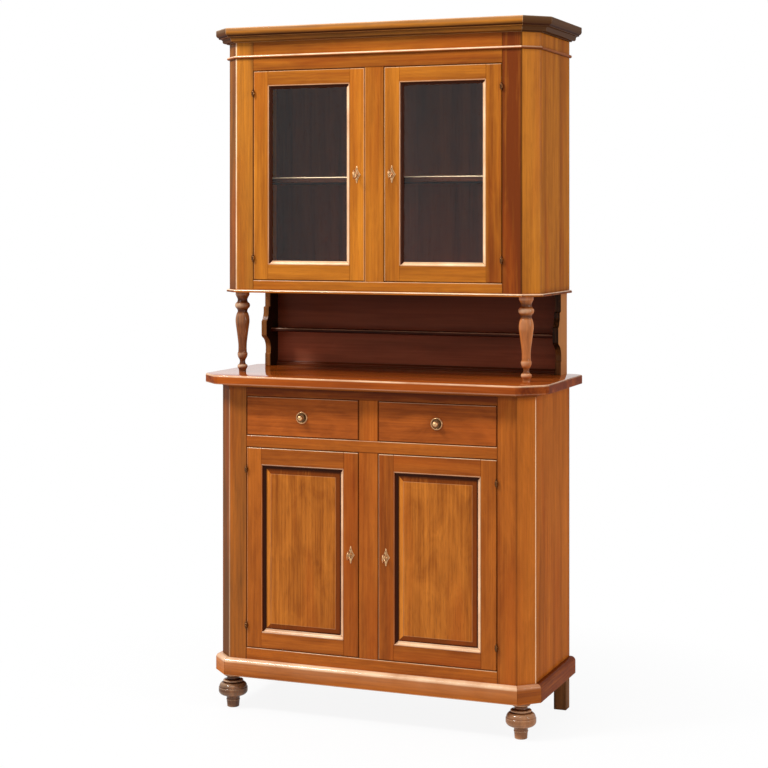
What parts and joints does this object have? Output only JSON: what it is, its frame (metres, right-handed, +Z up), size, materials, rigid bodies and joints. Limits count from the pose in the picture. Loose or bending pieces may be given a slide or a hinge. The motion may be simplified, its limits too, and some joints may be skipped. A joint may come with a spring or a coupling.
{
  "type": "dresser with hutch",
  "caption": "Cherry dresser: drawers over raised-panel doors on turned feet, moulded worktop, and a glazed hutch on turned columns and shaped brackets.",
  "frame": {"origin": "on the floor, under the middle of the plan box", "axes": "+X to the right seen from the front, +Y to the back, +Z up"},
  "size_m": [1.162, 0.478, 2.2],
  "materials": {
    "cherry": "satin lacquer, warm amber",
    "polished_cherry": "high polish",
    "figured_cherry": "satin lacquer over mottled figure",
    "turned_walnut": "dark gloss",
    "dark_lining": "dark satin",
    "plain_inside": "plain wax",
    "brass": "old gilt brass",
    "glass": "clear"
  },
  "bodies": {
    "cabinet": {"base_back_panel": "plain_inside", "base_bottom": "plain_inside", "base_corner_post_left": "cherry", "base_corner_post_right": "cherry", "base_face_frame": "cherry", "base_shelf": "plain_inside", "base_side_left": "cherry", "base_side_right": "cherry", "bead_mouldings": "cherry", "brackets": "cherry", "columns": "turned_walnut", "cornice": "cherry", "drawer_runners": "plain_inside", "front_feet": "turned_walnut", "hinge_pins": "brass", "hutch_back_panel": "dark_lining", "hutch_bottom": "cherry", "hutch_corner_post_left": "cherry", "hutch_corner_post_right": "cherry", "hutch_face_frame": "cherry", "hutch_shelf": "dark_lining", "hutch_side_left": "cherry", "hutch_side_right": "cherry", "hutch_top": "plain_inside", "plinth_moulding": "cherry", "rear_feet": "turned_walnut", "recess_back_panel": "dark_lining", "recess_shelf": "dark_lining", "recess_skirting": "dark_lining", "worktop": "polished_cherry"},
    "upper_door_left": {"upper_door_left_frame": "cherry", "upper_door_left_glass": "glass", "upper_door_left_lock": "brass", "upper_door_left_hinges": "brass"},
    "upper_door_left_key": {"upper_door_left_key": "brass"},
    "upper_door_left_bolt": {"upper_door_left_bolt": "brass"},
    "upper_door_right": {"upper_door_right_frame": "cherry", "upper_door_right_glass": "glass", "upper_door_right_lock": "brass", "upper_door_right_hinges": "brass"},
    "upper_door_right_key": {"upper_door_right_key": "brass"},
    "upper_door_right_bolt": {"upper_door_right_bolt": "brass"},
    "lower_door_left": {"lower_door_left_frame": "cherry", "lower_door_left_panel": "figured_cherry", "lower_door_left_lock": "brass", "lower_door_left_hinges": "brass"},
    "lower_door_left_key": {"lower_door_left_key": "brass"},
    "lower_door_left_bolt": {"lower_door_left_bolt": "brass"},
    "lower_door_right": {"lower_door_right_frame": "cherry", "lower_door_right_panel": "figured_cherry", "lower_door_right_lock": "brass", "lower_door_right_hinges": "brass"},
    "lower_door_right_key": {"lower_door_right_key": "brass"},
    "lower_door_right_bolt": {"lower_door_right_bolt": "brass"},
    "drawer_left": {"drawer_left_front": "cherry", "drawer_left_box": "plain_inside", "drawer_left_knob": "brass"},
    "drawer_right": {"drawer_right_front": "cherry", "drawer_right_box": "plain_inside", "drawer_right_knob": "brass"}
  },
  "joints": [
    {"name": "upper_door_left_swing", "type": "hinge", "parent": "cabinet", "child": "upper_door_left", "pos_m": [-0.422, -0.1375, 1.722], "axis": [0, 0, -1], "range_deg": [0, 170]},
    {"name": "upper_door_left_key_turn", "type": "hinge", "parent": "upper_door_left", "child": "upper_door_left_key", "pos_m": [-0.0595, -0.1325, 1.722], "axis": [0, 1, 0], "range_deg": [0, 180]},
    {"name": "upper_door_left_bolt_throw", "type": "slide", "parent": "upper_door_left", "child": "upper_door_left_bolt", "axis": [1, 0, 0], "range_m": [0, 0.008]},
    {"name": "upper_door_right_swing", "type": "hinge", "parent": "cabinet", "child": "upper_door_right", "pos_m": [0.422, -0.1375, 1.722], "axis": [0, 0, 1], "range_deg": [0, 170]},
    {"name": "upper_door_right_key_turn", "type": "hinge", "parent": "upper_door_right", "child": "upper_door_right_key", "pos_m": [0.0595, -0.1325, 1.722], "axis": [0, -1, 0], "range_deg": [0, 180]},
    {"name": "upper_door_right_bolt_throw", "type": "slide", "parent": "upper_door_right", "child": "upper_door_right_bolt", "axis": [-1, 0, 0], "range_m": [0, 0.008]},
    {"name": "lower_door_left_swing", "type": "hinge", "parent": "cabinet", "child": "lower_door_left", "pos_m": [-0.422, -0.187, 0.5265], "axis": [0, 0, -1], "range_deg": [0, 170]},
    {"name": "lower_door_left_key_turn", "type": "hinge", "parent": "lower_door_left", "child": "lower_door_left_key", "pos_m": [-0.0595, -0.182, 0.5265], "axis": [0, 1, 0], "range_deg": [0, 180]},
    {"name": "lower_door_left_bolt_throw", "type": "slide", "parent": "lower_door_left", "child": "lower_door_left_bolt", "axis": [1, 0, 0], "range_m": [0, 0.008]},
    {"name": "lower_door_right_swing", "type": "hinge", "parent": "cabinet", "child": "lower_door_right", "pos_m": [0.422, -0.187, 0.5265], "axis": [0, 0, 1], "range_deg": [0, 170]},
    {"name": "lower_door_right_key_turn", "type": "hinge", "parent": "lower_door_right", "child": "lower_door_right_key", "pos_m": [0.0595, -0.182, 0.5265], "axis": [0, -1, 0], "range_deg": [0, 180]},
    {"name": "lower_door_right_bolt_throw", "type": "slide", "parent": "lower_door_right", "child": "lower_door_right_bolt", "axis": [-1, 0, 0], "range_m": [0, 0.008]},
    {"name": "drawer_left_slide", "type": "slide", "parent": "cabinet", "child": "drawer_left", "axis": [0, -1, 0], "range_m": [0, 0.28]},
    {"name": "drawer_right_slide", "type": "slide", "parent": "cabinet", "child": "drawer_right", "axis": [0, -1, 0], "range_m": [0, 0.28]}
  ],
  "couplings": [
    {"joint": "upper_door_left_bolt_throw", "follows": "upper_door_left_key_turn", "m_per_rad": 0.002546},
    {"joint": "upper_door_right_bolt_throw", "follows": "upper_door_right_key_turn", "m_per_rad": 0.002546},
    {"joint": "lower_door_left_bolt_throw", "follows": "lower_door_left_key_turn", "m_per_rad": 0.002546},
    {"joint": "lower_door_right_bolt_throw", "follows": "lower_door_right_key_turn", "m_per_rad": 0.002546}
  ]
}
